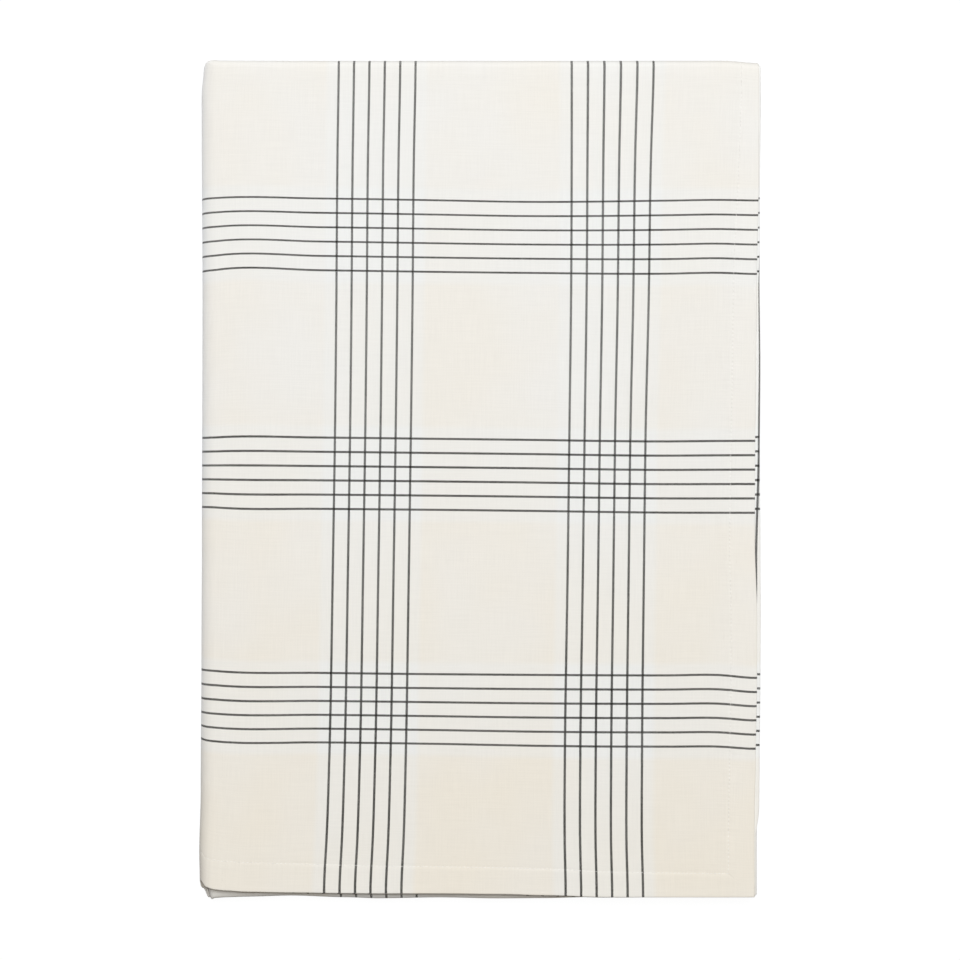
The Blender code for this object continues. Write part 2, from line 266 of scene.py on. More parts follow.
# Ranges: from where to where a value eases, and what it gives at each end.
PAINTED_COOL_LIGHT_BEHIND = (0.0, 0.42, 0.0, 0.6)  # along the cloth: painted light, the cream tinted cool behind, where the cool key falls, and warmest at the front hem
# Painted glare: the black lines are drawn paler behind, where glare from the light behind falls, and darker
# in front.
WARP_LINES_WIDER_OUT_OF_GLARE = (0.45, 0.02, 1.0, 1.07)  # along the cloth: the warp lines are wider in front,
WEFT_LINES_NARROWER_IN_GLARE = (0.28, 0.50, 1.03, 0.86)  # the weft lines are narrower behind,
FEWER_FLECKS_OUT_OF_GLARE = (0.40, 0.06, 0.0, 0.24)  # and the warp lines have fewer flecks in front
WARP_FLECKS = (-0.62, -0.42, 0.0, 1.0)  # by how far the warp yarn is on top
WEFT_FLECKS = (0.80, 0.60, 0.0, 1.0)
RUBBED_BLACK = (0.25, 0.75, 0.93, 1.0)
SLUB_SHADES = (0.6, 1.4, 0.972, 1.012)
# painted shade between the yarns, by how far either yarn is on top
PAINTED_YARN_HOLE_SHADE = (0.0, 0.5, 0.990, 1.0)
HEM_SHADES = (0.0004, -0.0012, 1.0, 1.012)  # across the seam: the hem is a little lighter

THREAD_SHADED = "F1EEE7"
THREAD_LIT = "FAF8F4"
ACRYLIC_DARK = "464645"  # what the floor sends back of the room's light
ACRYLIC_PALE = "494948"

ROOM_LIGHT = "FFF0DC"
ROOM_STRENGTH = 0.17
KEY_LIGHT = "F6FAFF"
KEY_AT = (0.20, 1.75, 4.30)
KEY_SIZE = 2.0
KEY_POWER = 240.0
TABLE_LOOKS = 0.96  # how bright the lit floor looks
TABLE_WHITE = "FFFFFF"
TABLE_LIGHT = "E4EEFF"  # the light that it gives the cloth
TABLE_LEFT = (1.45, 1.80)  # how much, from the last fold's side, at the front and at the back
TABLE_RIGHT = 0.12  # from the hems' side
TABLE_FRONT = 0.08
BESIDE = (0.14, 0.26)  # the sides start so far from the middle
FRONT_STARTS = (-0.15, -0.30)
LEFT_CHANGES = (-0.15, 0.35)
FLOOR_HALF = 4.0
FLOOR_LOWER = 0.0001  # just clear of the cloth

# The cloth's map. Places on the flat cloth, and where they come on the map.
MAP_ACROSS = ((0.0, 0.39, 0.76, CLOTH_WIDTH), (0.006, 0.56, 0.80, 0.90))
MAP_ALONG = ((0.0, 0.58, CLOTH_LENGTH), (0.006, 0.84, 0.994))
WRONG_SIDE_FROM = 0.92
WRONG_SIDE_SHARE = 0.08
RIM_WIDTH = 0.003

CAMERA_UP = 1.2  # above the cloth
CAMERA_LENS = 66.6
CAMERA_AT = (0.00065, 0.0002)

EASED = {"interpolation_type": "SMOOTHSTEP"}  # for a range with no kink at either end
COLOURS = {"data_type": "RGBA", "output": 2}  # for a mix of two colours


# Shapes.


def eased(low, high, at):
    """Rises from 0 at low to 1 at high with no kink at either end."""
    t = np.clip((at - low) / (high - low), 0.0, 1.0)
    return t * t * (3.0 - 2.0 * t)


def read_smoothly(table, column, at):
    """A table's column at the given distances along, eased from one row to the next."""
    result = np.full_like(at, table[0][column])
    for row, following in zip(table, table[1:]):
        step = following[column] - row[column]
        result = result + step * eased(row["along"], following["along"], at)
    return result


def curve_through(places, values, at):
    """A smooth curve through the values, level past both ends."""
    places, values = np.array(places, float), np.array(values, float)
    slopes = np.gradient(values, places)
    slopes[[0, -1]] *= 0.5
    at = np.clip(at, places[0], places[-1])
    part = np.clip(np.searchsorted(places, at, side="right") - 1, 0, len(places) - 2)
    width = places[part + 1] - places[part]
    t = (at - places[part]) / width
    rise = t * t * (3.0 - 2.0 * t)
    return (
        values[part] * (1.0 - rise)
        + values[part + 1] * rise
        + slopes[part] * width * t * (1.0 - t) ** 2
        - slopes[part + 1] * width * t * t * (1.0 - t)
    )


def fold_strip(distance, height, fold, thickness):
    """Carry points of a strip laid flat into its folds.

    distance runs along the strip from its first edge, and height is above its middle. Returns how
    far each point ends from the first edge, towards the first turn, and its height above the base
    of the folded stack.
    """
    levels = fold["levels"]
    along = distance
    up = (levels[0] + 0.5) * thickness + height
    panel_start, panel_from, way = 0.0, 0.0, 1.0
    for turn, before, after in zip(fold["turns"], levels, levels[1:]):
        radius = abs(before - after) * thickness / 2
        middle = (before + after + 1) * thickness / 2
        downwards = math.copysign(1.0, before - after)
        bend_start = panel_start + abs(turn - panel_from)
        angle = np.clip((distance - bend_start) / radius, 0.0, math.pi)
        reach = radius + way * downwards * height
        bent = distance > bend_start
        along = np.where(bent, turn + way * reach * np.sin(angle), along)
        up = np.where(bent, middle + downwards * reach * np.cos(angle), up)
        way = -way
        panel_start = bend_start + math.pi * radius
        panel_from = turn
        along = np.where(distance > panel_start, turn + way * (distance - panel_start), along)
    return along, up


def folded(across, along, height):
    """Where points of the cloth laid flat lie in the folded stack, the heights from its base."""
    place = {"width": across, "length": along}
    thickness = LAYER_PITCH
    for fold in FOLDS:
        way = fold["across"]
        place[way], height = fold_strip(place[way], height, fold, thickness)
        thickness *= len(fold["levels"])
        height = height - thickness / 2
    return place["width"], place["length"], height + thickness / 2


def stack_height():
    """The height of the folded stack, with the gap that its outer sheets leave."""
    return LAYER_PITCH * math.prod(len(fold["levels"]) for fold in FOLDS)


def settled(x, y, z):
    """Shift and swell the neat stack as cloth settles. It moves space smoothly, so no two layers meet."""
    height = stack_height()
    half_width = FOLDS[2]["turns"][0] / 2
    half_length = FOLDS[1]["turns"][0] / 2
    to_fold = -x / half_width
    to_front = -y / half_length
    from_middle = np.hypot(np.maximum(-x - half_width, 0.0), z - height / 2)
    hems = eased(0.22, 0.54, from_middle / (height / 2)) * eased(0.3, 0.6, z / height)
    drawn_back = read_smoothly(FRONT_EDGE, "hems_drawn_back", to_fold) * hems
    drawn_back = drawn_back + read_smoothly(FRONT_EDGE, "fold_drawn_back", to_fold) * (1.0 - hems)
    x = x + read_smoothly(LAST_FOLD_EDGE, "pulled_in", to_front) * eased(0.5, 1.0, to_fold)
    y = y + eased(0.5, 1.0, to_front) * drawn_back
    at_back = eased(0.85, 1.0, -to_front)
    y = y + FOLD_CORNER_PUSHED_OUT * eased(0.99, 1.05, to_fold) * at_back
    y = y - BACK_CORNER_PULLED_IN * eased(0.88, 1.02, -to_fold) * at_back
    swell = 1.0 + FOLD_SWELL * eased(0.55, 1.0, to_fold)
    swell = swell + SURFACE_WAVE * (1.0 + np.sin(2.1 * to_fold + 0.6) * np.sin(2.6 * to_front + 1.1))
    for row in SOFT_WAVES:
        one, other = (np.sin(right * x + up * y + start) for right, up, start in (row["one"], row["other"]))
        swell = swell + row["strength"] * one * other
    return x, y, z * swell


def moved_hems(across, along):
    """Moves the cloth's points near its hems by how far each hem reaches."""
    beyond_side = CLOTH_WIDTH - across
    beyond_end = CLOTH_LENGTH - along
    near_side = read_smoothly(SIDE_HEMS, "near_reach", along) * eased(REACH_FADES_OVER, 0.0, across)
    far_side = read_smoothly(SIDE_HEMS, "far_reach", along) * eased(REACH_FADES_OVER, 0.0, beyond_side)
    near_end = read_smoothly(END_HEMS, "near_reach", across) * eased(REACH_FADES_OVER, 0.0, along)
    far_end = read_smoothly(END_HEMS, "far_reach", across) * eased(REACH_FADES_OVER, 0.0, beyond_end)
    return across - near_side + far_side, along - near_end + far_end


def carried(across, along, height):
    """Points of the cloth laid flat, at a height above its middle, carried into the folded stack."""
    from_side, from_end, up = folded(*moved_hems(across, along), height)
    half_width = FOLDS[2]["turns"][0] / 2
    half_length = FOLDS[1]["turns"][0] / 2
    resting = (LAYER_PITCH - SHEET) / 2
    x, y, z = settled(half_width - from_side, from_end - half_length, up - resting)
    return np.stack([x, y, z], axis=-1)


def bends_of(fold, thickness):
    """Where a strip laid flat bends: each bend's start and end along it, and its steps."""
    bends = []
    panel_start, panel_from = 0.0, 0.0
    for turn, before, after in zip(fold["turns"], fold["levels"], fold["levels"][1:]):
        start = panel_start + abs(turn - panel_from)
        panel_start = start + math.pi * abs(before - after) * thickness / 2
        panel_from = turn
        bends.append((start, panel_start, fold["steps"]))
    return bends


def grid_stops(whole, bends, fine):
    """Grid lines along a strip: dense near both hems and round the bends, finest on the first panel."""
    near = [edge * MM for edge in NEAR_HEM_LINES]
    far = [whole - edge * MM for edge in reversed(FAR_HEM_LINES)]
    stops = list(near)
    spacing = fine
    for start, end, steps in bends:
        flats = max(1, round((start - stops[-1]) / spacing))
        stops += np.linspace(stops[-1], start, flats + 1)[1:].tolist()
        stops += np.linspace(start, end, steps + 1)[1:].tolist()
        spacing = COARSE
    flats = max(1, round((far[0] - stops[-1]) / spacing))
    stops += np.linspace(stops[-1], far[0], flats + 1)[1:-1].tolist()
    return np.array(stops + far)


def cloth_grid():
    """The grid on the cloth laid flat, its near hems' lines following the two visible seams."""
    half, quarters, last = FOLDS
    bundle = LAYER_PITCH * len(half["levels"])
    stack = bundle * len(quarters["levels"])
    middle_bend = bends_of(half, LAYER_PITCH)[0]
    first_bend = bends_of(last, stack)[0]
    mirrored = tuple(middle_bend[1] + middle_bend[0] - edge for edge in first_bend[1::-1])
    across = grid_stops(CLOTH_WIDTH, [first_bend, middle_bend, (*mirrored, first_bend[2])], FINE_ACROSS)
    along = grid_stops(CLOTH_LENGTH, bends_of(quarters, bundle), FINE_ALONG)
    across, along = np.meshgrid(across, along, indexing="ij")
    wider_side = read_smoothly(SIDE_SEAM, "width", along) - HEM
    wider_end = read_smoothly(END_SEAM, "width", across) - HEM
    across = across + wider_side * np.minimum(across / HEM, 1.0) * eased(FOLLOWS_SEAM, HEM, across)
    along = along + wider_end * np.minimum(along / HEM, 1.0) * eased(FOLLOWS_SEAM, HEM, along)
    return across, along


def seam_places(across, along):
    """Where points lie by the seams: how far inside one, how far along it, and how far from the mitre."""
    side = across - read_smoothly(SIDE_SEAM, "width", along)
    end = along - read_smoothly(END_SEAM, "width", across)
    far_side = CLOTH_WIDTH - HEM - across
    far_end = CLOTH_LENGTH - HEM - along
    by_side = np.minimum(side, far_side)
    by_end = np.minimum(end, far_end)
    inside = np.minimum(by_side, by_end)
    run = np.where(by_side < by_end, along, across)
    corner = np.maximum(by_side, by_end)
    mitre = np.abs(by_side - by_end) + np.maximum(corner, 0.0) * 4.0
    return inside, run, mitre


def right_side_height(across, along):
    """How far the right side stands above the middle of the cloth."""
    inside = seam_places(across, along)[0]
    on_top = eased(*HEMS_RISE_ACROSS, across) * eased(*HEMS_RISE_ALONG, along)
    hem = eased(HEM_STEP, -HEM_STEP, inside)
    groove = np.exp(-((inside / SEAM_HALF_WIDTH) ** 2)) * (HIDDEN_SEAM + (1.0 - HIDDEN_SEAM) * on_top)
    return SHEET / 2 + HEM_RISE * hem * on_top - SEAM_DEPTH * groove


def from_edge(across, along):
    """How far points are from the cloth's nearest edge."""
    return np.minimum(np.minimum(across, CLOTH_WIDTH - across), np.minimum(along, CLOTH_LENGTH - along))


def rounded_edge(across, along):
    """1 over the cloth, falling off round its hemmed edge."""
    t = np.clip(1.0 - from_edge(across, along) / EDGE_ROUNDS_OVER, 0.0, 1.0)
    return EDGE_LEFT + (1.0 - EDGE_LEFT) * np.sqrt(1.0 - t * t)


def lines_at(lines, groups):
    """Where the first and last lines of the first few groups lie on the cloth, woven evenly."""
    spread = lines["pitch"] * (lines["count"] - 1)
    starts = [lines["first"] + lines["repeat"] * group for group in range(groups)]
    return [place for start in starts for place in (start, start + spread)]


def across_of(x, along, middle):
    """How far across the cloth laid flat a place on the top layer is."""
    trial = np.linspace(0.0, FOLDS[2]["turns"][0], 120)
    found = carried(trial, np.full_like(trial, along), SHEET / 2)[:, 0] - middle[0]
    return float(np.interp(-x, -found, trial))


def along_of(y, across, middle):
    """How far along the cloth laid flat a place on the top layer is."""
    trial = np.linspace(0.0, FOLDS[1]["turns"][0], 120)
    found = carried(np.full_like(trial, across), trial, SHEET / 2)[:, 1] - middle[1]
    return float(np.interp(y, found, trial))


def wander(table, key, even_places, place_of, middle, here, over):
    """How far the yarns wander from their even places, at points of the top layer.

    The table says where the named lines lie, by how far along them. here is how far along the
    lines the points are, and over is how far across them, both on the cloth laid flat.
    """
    rows = [row[key] * MM for row in table]
    names = [name for name in table[0] if name != key]
    lies = [
        curve_through(rows, [place_of(row[name] * MM, row[key] * MM, middle) for row in table], here)
        for name in names
    ]
    shifts = [even - lie for even, lie in zip(even_places, lies)]
    result = shifts[0]
    for before, after, shift, following in zip(lies, lies[1:], shifts, shifts[1:]):
        result = result + (following - shift) * np.clip((over - before) / (after - before), 0.0, 1.0)
    return result


def woven_places(across, along, middle):
    """Where each point lies in the weave, across the warp and along it."""
    warp_lines = lines_at(WARP_LINES, 2)
    weft_lines = lines_at(WEFT_LINES, 3)
    warp_wander = wander(WARP_LINES_LIE, "along", warp_lines, across_of, middle, along, across)
    weft_wander = wander(WEFT_LINES_LIE, "across", weft_lines, along_of, middle, across, along)
    by_hem = wander(WEFT_LINES_LIE, "across", weft_lines, along_of, middle, np.zeros_like(across), along)
    top = eased(TOP_ACROSS + WANDER_FADES_OVER, TOP_ACROSS, across)
    top = top * eased(TOP_ALONG + WANDER_FADES_OVER, TOP_ALONG, along)
    under = eased(*UNDER_HEM_FADES_IN, across) * eased(UNDER_HEM_FADES_OUT, TOP_ALONG, along)
    outwards = read_smoothly(UNDER_HEM_LINES, "outwards", along) * MM
    backwards = read_smoothly(UNDER_HEM_LINES, "backwards", along) * MM
    warp = across + warp_wander * top + outwards * under
    weft = along + weft_wander * top + (by_hem - backwards) * under
    return warp, weft


# Materials.


def linear(colour):
    """A colour written in sRGB hex, as the renderer's linear red, green, blue and alpha."""
    parts = [int(colour[at : at + 2], 16) / 255 for at in (0, 2, 4)]
    parts = [part / 12.92 if part <= 0.04045 else ((part + 0.055) / 1.055) ** 2.4 for part in parts]
    return (*parts, 1.0)


def new_material(name):
    """A material of that name, with its tree of nodes and its main shader."""
    material = bpy.data.materials.new(name)
    material.use_nodes = True
    return material, material.node_tree, material.node_tree.nodes["Principled BSDF"]


def add_node(tree, kind, inputs=(), output=0, **settings):
    """Adds a node with its settings, and returns one of its outputs.

    inputs holds the value of each input or the output that is linked to it, in their order or by name.
    """
    made = tree.nodes.new("ShaderNode" + kind)
    for name, value in settings.items():
        setattr(made, name, value)
    inputs = inputs if isinstance(inputs, dict) else dict(enumerate(inputs))
    for name, value in inputs.items():
        if isinstance(value, bpy.types.NodeSocket):
            tree.links.new(value, made.inputs[name])
        else:
            made.inputs[name].default_value = value
    return made.outputs[output]


def patchy(tree, across, along, size):
    """Soft random patches from 0 to 1, of that size across and along the cloth."""
    across = add_node(tree, "Math", (across, size[0]), operation="DIVIDE")
    along = add_node(tree, "Math", (along, size[1]), operation="DIVIDE")
    place = add_node(tree, "CombineXYZ", (across, along))
    return add_node(tree, "TexNoise", {"Vector": place, "Scale": 1.0, "Detail": 2.0})


def on_lines(tree, place, lines, half_width, soft):
    """1 on the lines of every group and 0 beside them, going over softly at half a line's width."""
    pitch = lines["pitch"]
    counted = add_node(tree, "Math", (place, lines["first"]), operation="SUBTRACT")
    counted = add_node(tree, "Math", (counted, pitch), operation="DIVIDE")
    counted = add_node(tree, "Math", (counted, lines["repeat"] / pitch - 1.0, -1.0), operation="WRAP")
    nearest = add_node(tree, "Math", (counted,), operation="ROUND")
    nearest = add_node(tree, "Math", (nearest, 0.0), operation="MAXIMUM")
    nearest = add_node(tree, "Math", (nearest, lines["count"] - 1.0), operation="MINIMUM")
    away = add_node(tree, "Math", (counted, nearest), operation="SUBTRACT")
    away = add_node(tree, "Math", (away,), operation="ABSOLUTE")
    away = add_node(tree, "Math", (away, pitch), operation="MULTIPLY")
    beyond = add_node(tree, "Math", (away, half_width), operation="SUBTRACT")
    return add_node(tree, "MapRange", (beyond, soft, -soft), **EASED)


def yarns_over_and_under(tree, warp, weft):
    """Above 0 where the warp yarn is on top, and below 0 where the weft yarn is."""
    waver = patchy(tree, warp, weft, WAVER_PATCHES)
    waver = add_node(tree, "Math", (waver, 2.0 * WAVERS, -WAVERS), operation="MULTIPLY_ADD")
    across = add_node(tree, "Math", (warp, waver), operation="ADD")
    across = add_node(tree, "Math", (across, math.pi / WARP_PITCH), operation="MULTIPLY")
    across = add_node(tree, "Math", (across,), operation="SINE")
    along = add_node(tree, "Math", (weft, waver), operation="SUBTRACT")
    along = add_node(tree, "Math", (along, math.pi / WEFT_PITCH), operation="MULTIPLY")
    along = add_node(tree, "Math", (along,), operation="SINE")
    return add_node(tree, "Math", (across, along), operation="MULTIPLY")


def black_yarns(tree, warp, weft, over):
    """How black the cloth is. An undyed yarn that crosses over a dyed one leaves a light fleck on it."""
    uneven = patchy(tree, warp, weft, LINE_PATCHES)
    warp_half = WARP_LINES["width"] / 2 - LINE_UNEVEN
    warp_half = add_node(tree, "Math", (uneven, 2.0 * LINE_UNEVEN, warp_half), operation="MULTIPLY_ADD")
    # Painted glare: the lines are drawn wider in front and narrower behind.
    wider_out_of_glare = add_node(tree, "MapRange", (weft, *WARP_LINES_WIDER_OUT_OF_GLARE), **EASED)
    warp_half = add_node(tree, "Math", (warp_half, wider_out_of_glare), operation="MULTIPLY")
    weft_half = WEFT_LINES["width"] / 2 + LINE_UNEVEN
    weft_half = add_node(tree, "Math", (uneven, -2.0 * LINE_UNEVEN, weft_half), operation="MULTIPLY_ADD")
    narrower_in_glare = add_node(tree, "MapRange", (weft, *WEFT_LINES_NARROWER_IN_GLARE), **EASED)
    weft_half = add_node(tree, "Math", (weft_half, narrower_in_glare), operation="MULTIPLY")
    warp_line = on_lines(tree, warp, WARP_LINES, warp_half, LINE_EDGE)
    weft_line = on_lines(tree, weft, WEFT_LINES, weft_half, LINE_EDGE)

    # Painted glare: fewer light flecks on the warp lines in front.
    fewer_out_of_glare = add_node(tree, "MapRange", (weft, *FEWER_FLECKS_OUT_OF_GLARE), **EASED)
    flecked = add_node(tree, "Math", (over, fewer_out_of_glare), operation="ADD")
    flecked = add_node(tree, "MapRange", (flecked, *WARP_FLECKS), **EASED)
    warp_dark = add_node(tree, "Math", (warp_line, flecked), operation="MULTIPLY")
    flecked = add_node(tree, "MapRange", (over, *WEFT_FLECKS), **EASED)
    weft_dark = add_node(tree, "Math", (weft_line, flecked), operation="MULTIPLY")
    crossing = add_node(tree, "Math", (warp_line, weft_line), operation="MULTIPLY")
    dark = add_node(tree, "Math", (warp_dark, weft_dark), operation="MAXIMUM")
    dark = add_node(tree, "Math", (dark, crossing), operation="MAXIMUM")
    worn = patchy(tree, warp, weft, WORN_PATCHES)
    worn = add_node(tree, "MapRange", (worn, *RUBBED_BLACK), **EASED)
    return add_node(tree, "Math", (dark, worn), operation="MULTIPLY")


def undyed_cream(tree, warp, weft):
    """The undyed cotton's cream: broad patches, a painted cool light tint towards the back, and duller by
    the black yarns.
    """
    patches = patchy(tree, warp, weft, BROAD_PATCHES)
    patches = add_node(tree, "MapRange", (patches, 0.3, 0.7), **EASED)
    # Painted light: the cream is tinted cool towards the back, where the cool key light falls.
    painted_cool_light = add_node(tree, "MapRange", (weft, *PAINTED_COOL_LIGHT_BEHIND), **EASED)
    patches = add_node(tree, "Math", (patches, 0.4, painted_cool_light), operation="MULTIPLY_ADD")
    shades = {"Factor": patches, 6: linear(COTTON_WARM), 7: linear(COTTON_COOL)}
    cream = add_node(tree, "Mix", shades, **COLOURS)
    warp_lint = on_lines(tree, warp, WARP_LINES, LINT_REACHES, LINT_FADES)
    weft_lint = on_lines(tree, weft, WEFT_LINES, LINT_REACHES, LINT_FADES)
    lint = add_node(tree, "Math", (warp_lint, weft_lint), operation="ADD")
    lint = add_node(tree, "Math", (lint, LINT_SHARE), operation="MULTIPLY")
    return add_node(tree, "Mix", {"Factor": lint, 6: cream, 7: linear(COTTON_BY_BLACK)}, **COLOURS)


def cotton_shade(tree, over, slubs, seam):
    """How light the cotton is: slubs, painted shade between the yarns, the hem, and a highlight painted
    along the seam.
    """
    inside, run, _, away = seam
    shade = add_node(tree, "MapRange", (slubs, *SLUB_SHADES), **EASED)
    # Painted shade between the yarns, where they leave holes.
    painted_yarn_hole_shade = add_node(tree, "Math", (over,), operation="ABSOLUTE")
    painted_yarn_hole_shade = add_node(tree, "MapRange", (painted_yarn_hole_shade, *PAINTED_YARN_HOLE_SHADE), **EASED)
    shade = add_node(tree, "Math", (shade, painted_yarn_hole_shade), operation="MULTIPLY")
    hem = add_node(tree, "MapRange", (inside, *HEM_SHADES), **EASED)
    shade = add_node(tree, "Math", (shade, hem), operation="MULTIPLY")
    # A highlight is painted along the seam's ridge, patchy along it.
    by_seam = add_node(tree, "MapRange", (away, SEAM_HIGHLIGHT_REACH, 0.0), **EASED)
    painted_seam_highlight = patchy(tree, inside, run, SEAM_HIGHLIGHT_PATCHES)
    painted_seam_highlight = add_node(tree, "Math", (by_seam, painted_seam_highlight), operation="MULTIPLY")
    return add_node(tree, "Math", (painted_seam_highlight, 0.05, shade), operation="MULTIPLY_ADD")


def cotton_relief(tree, warp, weft, over, slubs, seam):
    """The height of the surface: yarns, slubs and rumples, and the seams' stitches, puckers and mitres."""
    inside, run, mitre, away = seam
    yarns = add_node(tree, "Math", (over,), operation="ABSOLUTE")
    relief = add_node(tree, "Math", (yarns, YARN_HEIGHT), operation="MULTIPLY")
    relief = add_node(tree, "Math", (slubs, SLUB_HEIGHT, relief), operation="MULTIPLY_ADD")
    pulled = add_node(tree, "Math", (run, 2.0 * math.pi / STITCH_PITCH), operation="MULTIPLY")
    pulled = add_node(tree, "Math", (pulled,), operation="COSINE")
    pulled = add_node(tree, "Math", (pulled, 0.5, 0.5), operation="MULTIPLY_ADD")
    by_seam = add_node(tree, "MapRange", (away, STITCH_PULLS, 0.0), **EASED)
    pulled = add_node(tree, "Math", (pulled, by_seam), operation="MULTIPLY")
    relief = add_node(tree, "Math", (pulled, -STITCH_DEPTH, relief), operation="MULTIPLY_ADD")
    puckers = patchy(tree, inside, run, PUCKERS)
    by_seam = add_node(tree, "MapRange", (away, PUCKER_REACHES, 0.0), **EASED)
    puckers = add_node(tree, "Math", (puckers, by_seam), operation="MULTIPLY")
    relief = add_node(tree, "Math", (puckers, PUCKER_HEIGHT, relief), operation="MULTIPLY_ADD")
    mitre = add_node(tree, "MapRange", (mitre, MITRE_WIDTH, 0.0), **EASED)
    relief = add_node(tree, "Math", (mitre, -MITRE_DEPTH, relief), operation="MULTIPLY_ADD")
    rumples = patchy(tree, warp, weft, RUMPLES)
    return add_node(tree, "Math", (rumples, RUMPLE_HEIGHT, relief), operation="MULTIPLY_ADD")


def plain_woven_cotton():
    """Plain-woven cotton with yarn-dyed black lines: matt, with a faint bloom of fibre and small slubs.

    The weave is drawn at its real size, about half a millimetre from yarn to yarn.
    """
    material, tree, shader = new_material("plain_woven_cotton")
    places = add_node(tree, "Attribute", output="Vector", attribute_name="weave")
    warp, weft, _ = add_node(tree, "SeparateXYZ", (places,)).node.outputs
    places = add_node(tree, "Attribute", output="Vector", attribute_name="seam")
    inside, run, mitre = add_node(tree, "SeparateXYZ", (places,)).node.outputs
    away = add_node(tree, "Math", (inside,), operation="ABSOLUTE")
    seam = (inside, run, mitre, away)
    over = yarns_over_and_under(tree, warp, weft)
    warp_slubs = patchy(tree, warp, weft, WARP_SLUBS)
    weft_slubs = patchy(tree, warp, weft, WEFT_SLUBS)
    slubs = add_node(tree, "Math", (warp_slubs, weft_slubs), operation="ADD")

    cream = undyed_cream(tree, warp, weft)
    shade = cotton_shade(tree, over, slubs, seam)
    cream = add_node(tree, "VectorMath", {0: cream, "Scale": shade}, operation="SCALE")
    dark = black_yarns(tree, warp, weft, over)
    colour = add_node(tree, "Mix", {"Factor": dark, 6: cream, 7: linear(BLACK_YARN)}, **COLOURS)
    tree.links.new(colour, shader.inputs["Base Color"])
    rough = add_node(tree, "Math", (slubs, 0.05, 0.82), operation="MULTIPLY_ADD")
    tree.links.new(rough, shader.inputs["Roughness"])
    shader.inputs["IOR"].default_value = 1.5
    shader.inputs["Specular IOR Level"].default_value = 0.3
    shader.inputs["Sheen Weight"].default_value = 0.08
    shader.inputs["Sheen Roughness"].default_value = 0.5
    relief = cotton_relief(tree, warp, weft, over, slubs, seam)
    bump = add_node(tree, "Bump", {"Height": relief, "Distance": 1.0, "Strength": 1.0})
    tree.links.new(bump, shader.inputs["Normal"])
    return material


def mercerised_thread():
    """White sewing thread: smoother and a little brighter than the cloth, shaded along its twist."""
    material, tree, shader = new_material("mercerised_sewing_thread")
    places = add_node(tree, "TexCoord", output="Object")
    twist = add_node(tree, "TexNoise", {"Vector": places, "Scale": 1800.0})
    shades = {"Factor": twist, 6: linear(THREAD_SHADED), 7: linear(THREAD_LIT)}
    colour = add_node(tree, "Mix", shades, **COLOURS)
    tree.links.new(colour, shader.inputs["Base Color"])
    bump = add_node(tree, "Bump", {"Height": twist, "Distance": 0.00004, "Strength": 0.6})
    tree.links.new(bump, shader.inputs["Normal"])
    shader.inputs["Roughness"].default_value = 0.55
    shader.inputs["Sheen Weight"].default_value = 0.05
    return material


def lit_opal_acrylic():
    """The floor: a sheet of opal acrylic lit from below, evenly white to look at.

    Its light reaches the cloth mostly from the last fold's side, which leaves the front hem in shade.
    """
    material, tree, shader = new_material("opal_acrylic_lit_from_below")
    places = add_node(tree, "TexCoord", output="Object")
    mottle = add_node(tree, "TexNoise", {"Vector": places, "Scale": 9.0})
    shades = {"Factor": mottle, 6: linear(ACRYLIC_DARK), 7: linear(ACRYLIC_PALE)}
    colour = add_node(tree, "Mix", shades, **COLOURS)
    tree.links.new(colour, shader.inputs["Base Color"])
    shader.inputs["Roughness"].default_value = 0.95
    shader.inputs["Specular IOR Level"].default_value = 0.1
    x, y, _ = add_node(tree, "SeparateXYZ", (places,)).node.outputs
    near, far = BESIDE
    left = add_node(tree, "MapRange", (x, -near, -far), **EASED)
    left_gives = add_node(tree, "MapRange", (y, *LEFT_CHANGES, *TABLE_LEFT), **EASED)
    left = add_node(tree, "Math", (left, left_gives), operation="MULTIPLY")
    right = add_node(tree, "MapRange", (x, near, far, 0.0, TABLE_RIGHT), **EASED)
    sides = add_node(tree, "Math", (left, right), operation="ADD")
    front = add_node(tree, "MapRange", (y, *FRONT_STARTS), **EASED)
    behind = add_node(tree, "Math", (1.0, front), operation="SUBTRACT")
    given = add_node(tree, "Math", (sides, behind), operation="MULTIPLY")
    given = add_node(tree, "Math", (front, TABLE_FRONT, given), operation="MULTIPLY_ADD")
    seen = add_node(tree, "LightPath", output="Is Camera Ray")
    strength = add_node(tree, "Mix", {"Factor": seen, 2: given, 3: TABLE_LOOKS})
    tree.links.new(strength, shader.inputs["Emission Strength"])
    shades = {"Factor": seen, 6: linear(TABLE_LIGHT), 7: linear(TABLE_WHITE)}
    colour = add_node(tree, "Mix", shades, **COLOURS)
    tree.links.new(colour, shader.inputs["Emission Color"])
    return material


# Pieces.


def rim_faces(lines_across, lines_along):
    """Quads that close the two sides round the cloth's edge."""
    last_column = (lines_across - 1) * lines_along
    near_end = [column * lines_along for column in range(lines_across)]
    far_side = [last_column + row for row in range(1, lines_along)]
    far_end = [column * lines_along + lines_along - 1 for column in range(lines_across - 2, -1, -1)]
    near_side = list(range(lines_along - 2, 0, -1))
    edge = near_end + far_side + far_end + near_side
    under = lines_across * lines_along
    return [[here, there, there + under, here + under] for here, there in zip(edge, edge[1:] + edge[:1])]


def flattened(across, along):
    """Where the right side's points go on the cloth's map. The outer layer has most of the map."""
    return np.interp(across, *MAP_ACROSS), np.interp(along, *MAP_ALONG)


def add_piece(name, points, faces, material):
    """A new smooth-shaded object of these points and faces."""
    mesh = bpy.data.meshes.new(name)
    mesh.from_pydata(points.tolist(), [], faces)
    mesh.materials.append(material)
    mesh.shade_smooth()
    piece = bpy.data.objects.new(name, mesh)
    bpy.context.scene.collection.objects.link(piece)
    return piece


